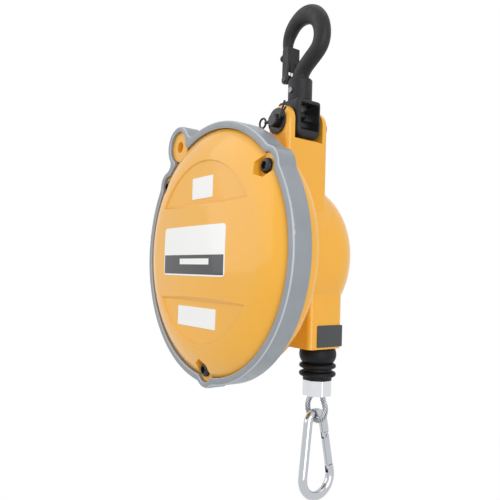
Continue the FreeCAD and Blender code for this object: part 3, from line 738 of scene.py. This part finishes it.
@dataclass
class Plates:
    """Label films, all left bare."""
    two_tone: str = "name_plate"
    white: tuple[str, ...] = ("rating_plate", "notice_plate")
    dark: tuple[str, ...] = ("side_plate",)
    margin: float = 1.2              # millimetres of white left round the dark band
    band_share: float = 0.42         # how far up the plate the band reaches
    window_across: tuple[float, float] = (0.31, 0.78)  # the window's sides, as shares of
    window_up: tuple[float, float] = (0.23, 0.346)     # the plate's width and height

    def build(self) -> None:
        """Dress the plates; the large one has a dark band with a pale window."""
        low, high = (edge / MM for edge in corner(self.two_tone))
        size = high - low
        band = Field(low.x + self.margin, high.x - self.margin, low.z + self.margin,
                     low.z + self.band_share * size.z)
        window = Field(low.x + self.window_across[0] * size.x,
                       low.x + self.window_across[1] * size.x,
                       low.z + self.window_up[0] * size.z,
                       low.z + self.window_up[1] * size.z)
        # laminated film in two tones: a dark band that gives the white plate its weight
        film = PrintedFilm("label_film_two_tone", FILM_WHITE, roughness=0.3, coat=0.3,
                           band=band, window=window)
        dress((self.two_tone,), film)
        dress(self.white, WHITE_FILM)
        dress(self.dark, GREY_FILM)


@dataclass
class DrumUnit:
    """Everything inside the case: drum, shaft, bearings, spring, worm and wheel."""
    cast: tuple[str, ...] = ("rope_drum",)
    wound: tuple[str, ...] = ("rope_on_drum",)
    turned: tuple[str, ...] = ("drum_shaft", "drum_key", "spring_arbor", "tension_worm",
                               "front_bearing", "rear_bearing")
    sprung: tuple[str, ...] = ("drum_circlip", "mainspring")
    wheel: tuple[str, ...] = ("spring_case",)

    def build(self) -> None:
        """Dress the internals."""
        dress(self.cast, CAST_ALLOY)
        dress(self.wound, WIRE)
        dress(self.turned, TURNED)
        dress(self.sprung, STRIP)
        dress(self.wheel, BRONZE)


@dataclass
class RopeEnd:
    """Free rope, rubber buffer, pressed ferrule and the loop under it."""
    buffer: str = "rope_buffer"
    ferrule: str = "rope_ferrule"
    rope: LaidRope = field(default_factory=LaidRope)
    loop: LaidRope = field(default_factory=lambda: LaidRope(radius=2.2 * MM))
    grip: float = 2.0 * MM           # foot of the straight rope that moves with the ferrule
    neck: float = 6.5 * MM           # from the loop's middle to each end in the ferrule
    neck_drop: float = 0.1 * MM      # the loop runs upright from just under the ferrule
    bow_steps: int = 10
    flare_steps: int = 4

    def build(self) -> None:
        """Dress the rubber and ferrule and lay the ropes."""
        dress((self.buffer,), BLACK_RUBBER)
        dress((self.ferrule,), FERRULE)
        self.hanging_rope()
        self.lower_loop()

    def hanging_rope(self) -> None:
        """Straight rope that stretches from the drum's edge to the ferrule."""
        low, high = corner("wire_rope")
        centre = (low + high) / 2
        piece = self.rope.straight(high.z - low.z)
        piece.location = (centre.x, centre.y, low.z)
        settle(piece, "laid_wire_rope")
        smooth(piece, self.rope.smooth_below)
        paint(piece, WIRE)
        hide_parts("wire_rope")
        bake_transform(piece)

    def lower_loop(self) -> None:
        """Pear-shaped rope loop whose two ends stand in the ferrule."""
        low, high = corner("rope_loop")
        radius = (high.y - low.y) / 2
        centre = (low + high) / 2
        half = (high.x - low.x) / 2 - radius
        bow_z = low.z + radius + half
        neck_z = corner(self.ferrule)[0].z - self.neck_drop
        right = self.pear_side(half, bow_z, neck_z)
        right.append(Vector((self.neck, 0, high.z)))
        left = [Vector((-point.x, 0, point.z)) for point in reversed(right)]
        places = [point + Vector((centre.x, centre.y, 0)) for point in left + right[1:]]
        piece = self.loop.bent(places)
        settle(piece, "laid_rope_loop")
        smooth(piece, self.loop.smooth_below)
        paint(piece, WIRE)
        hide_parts("rope_loop")
        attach(piece, "rope_end")

    def pear_side(self, half: float, bow_z: float, neck_z: float) -> list[Vector]:
        """Right side of the loop from its foot up to the neck: a bow and a counter curve.

        Args:
            half: radius of the bow.
            bow_z: height of the bow's centre.
            neck_z: height where the rope runs straight up.

        Returns:
            Points in the loop's plane, X from the loop's middle.
        """
        rise = neck_z - bow_z
        flare = (self.neck ** 2 + rise ** 2 - half ** 2) / (2 * (half - self.neck))
        lean = math.atan2(rise, self.neck + flare)
        points = []
        for k in range(self.bow_steps + 1):
            angle = -math.pi / 2 + (math.pi / 2 + lean) * k / self.bow_steps
            points.append(Vector((half * math.cos(angle), 0, bow_z + half * math.sin(angle))))
        for k in range(1, self.flare_steps + 1):
            angle = math.pi + lean * (1 - k / self.flare_steps)
            points.append(Vector((self.neck + flare + flare * math.cos(angle), 0,
                                  neck_z + flare * math.sin(angle))))
        return points


@dataclass
class SnapHook:
    """Bent-wire snap hook with its gate."""
    plated: tuple[str, ...] = ("snap_hook", "snap_gate", "gate_rivet")

    def build(self) -> None:
        """Dress the snap hook."""
        dress(self.plated, ZINC)


@dataclass(frozen=True)
class SoftBox:
    """One rectangular light: its centre in metres, seen from the part's middle height."""
    name: str
    place: tuple[float, float, float]
    width: float
    height: float
    watts: float


@dataclass
class Studio:
    """Pale floor, plain white world, soft lights and the camera; lengths in metres."""
    camera_place: tuple[float, float, float] = (318.72 * MM, -280.70 * MM, -192.35 * MM)
    right: tuple[float, float, float] = (0.5938, 0.8041, 0.0299)
    up: tuple[float, float, float] = (0.0163, -0.0491, 0.9987)
    back: tuple[float, float, float] = (0.8045, -0.5925, -0.0423)
    lens: float = 40.32              # lens and sensor in millimetres
    sensor: float = 36.0
    near: float = 0.01               # nothing nearer or farther is drawn
    far: float = 20.0
    floor_size: float = 12.0
    floor_drop: float = 1.6          # clears the rope at its full pull
    floor_colour: str = "#F7F7F7"
    floor_roughness: float = 0.9
    floor_glow: float = 0.998        # share of plain white that the floor shows
    daylight: float = 0.58           # what the world adds to the lamps on a matt face
    boxes: tuple[SoftBox, ...] = (
        SoftBox("key", (-0.75, -1.35, 0.75), 1.8, 1.8, 11.0),
        SoftBox("fill", (1.5, -0.5, 0.1), 1.0, 1.4, 12.0),
        SoftBox("top", (0.1, 0.2, 1.4), 1.2, 1.2, 3.0))

    def build(self) -> None:
        """Make floor, world, lights and camera."""
        self.camera()
        self.world()
        self.floor()
        self.lights()
        bpy.context.scene.view_settings.view_transform = "Standard"

    def camera(self) -> None:
        """Place the camera to the right of the front, a little below the middle."""
        data = bpy.data.cameras.new("camera")
        data.lens = self.lens
        data.sensor_width = self.sensor
        data.clip_start = self.near
        data.clip_end = self.far
        eye = bpy.data.objects.new("camera", data)
        bpy.context.scene.collection.objects.link(eye)
        turn = Matrix((self.right, self.up, self.back)).transposed().to_4x4()
        eye.matrix_world = Matrix.Translation(Vector(self.camera_place)) @ turn
        bpy.context.scene.camera = eye

    def world(self) -> None:
        """Even daylight; eye, metal and glass see plain white."""
        world = bpy.data.worlds.new("studio")
        bpy.context.scene.world = world
        world.use_nodes = True
        tree = world.node_tree
        shader = tree.nodes["Background"]
        path = add_node(tree, "LightPath")
        mirrored = add_node(tree, "Math", {"operation": "MAXIMUM"},
                            {0: path.outputs["Is Glossy Ray"],
                             1: path.outputs["Is Transmission Ray"]})
        seen = add_node(tree, "Math", {"operation": "MAXIMUM"},
                        {0: path.outputs["Is Camera Ray"], 1: mirrored.outputs[0]})
        strength = add_node(tree, "Math", {"operation": "MAXIMUM"},
                            {0: seen.outputs[0], 1: self.daylight})
        shader.inputs["Color"].default_value = WHITE
        tree.links.new(strength.outputs[0], shader.inputs["Strength"])

    def floor(self) -> None:
        """Large plain floor well below the hanging part, white to the eye and to metal."""
        low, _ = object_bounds()
        deselect()
        bpy.ops.mesh.primitive_plane_add(size=self.floor_size,
                                         location=(0, 0, low[2] - self.floor_drop))
        floor = bpy.context.object
        floor.name = "studio_floor"
        # matt paper: takes the lamps' soft shadow, and stands as white behind the part
        made = bpy.data.materials.new("studio_paper")
        made.use_nodes = True
        tree = made.node_tree
        shader = tree.nodes["Principled BSDF"]
        shader.inputs["Base Color"].default_value = linear(self.floor_colour)
        shader.inputs["Roughness"].default_value = self.floor_roughness
        path = add_node(tree, "LightPath")
        glow = add_node(tree, "Emission", None, {"Color": WHITE, "Strength": 1.0})
        seen = add_node(tree, "Math", {"operation": "MAXIMUM"},
                        {0: path.outputs["Is Camera Ray"], 1: path.outputs["Is Glossy Ray"]})
        share = add_node(tree, "Math", {"operation": "MULTIPLY"},
                         {0: seen.outputs[0], 1: self.floor_glow})
        mix = add_node(tree, "MixShader", None,
                       {0: share.outputs[0], 1: shader.outputs[0], 2: glow.outputs[0]})
        tree.links.new(mix.outputs[0], tree.nodes["Material Output"].inputs["Surface"])
        floor.data.materials.append(made)
        floor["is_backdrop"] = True

    def lights(self) -> None:
        """A big soft box high at the front left, one on the right and a weak one above.

        Each faces the middle of the part.
        """
        low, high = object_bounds()
        centre = (Vector(low) + Vector(high)) / 2
        for box in self.boxes:
            data = bpy.data.lights.new(box.name, "AREA")
            data.shape = "RECTANGLE"
            data.size = box.width
            data.size_y = box.height
            data.energy = box.watts
            lamp = bpy.data.objects.new(box.name, data)
            bpy.context.scene.collection.objects.link(lamp)
            lamp.location = Vector(box.place) + Vector((0, 0, centre.z))
            lamp.rotation_mode = "QUATERNION"
            lamp.rotation_quaternion = (centre - lamp.location).to_track_quat("-Z", "Y")


def main() -> None:
    """Build every sub-assembly, then the studio."""
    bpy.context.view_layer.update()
    for unit in (TopHook(), Hanger(), Case(), Plates(), DrumUnit(), RopeEnd(), SnapHook()):
        log.info("building %s", type(unit).__name__)
        unit.build()
    Studio().build()


if __name__ == "__main__":
    main()
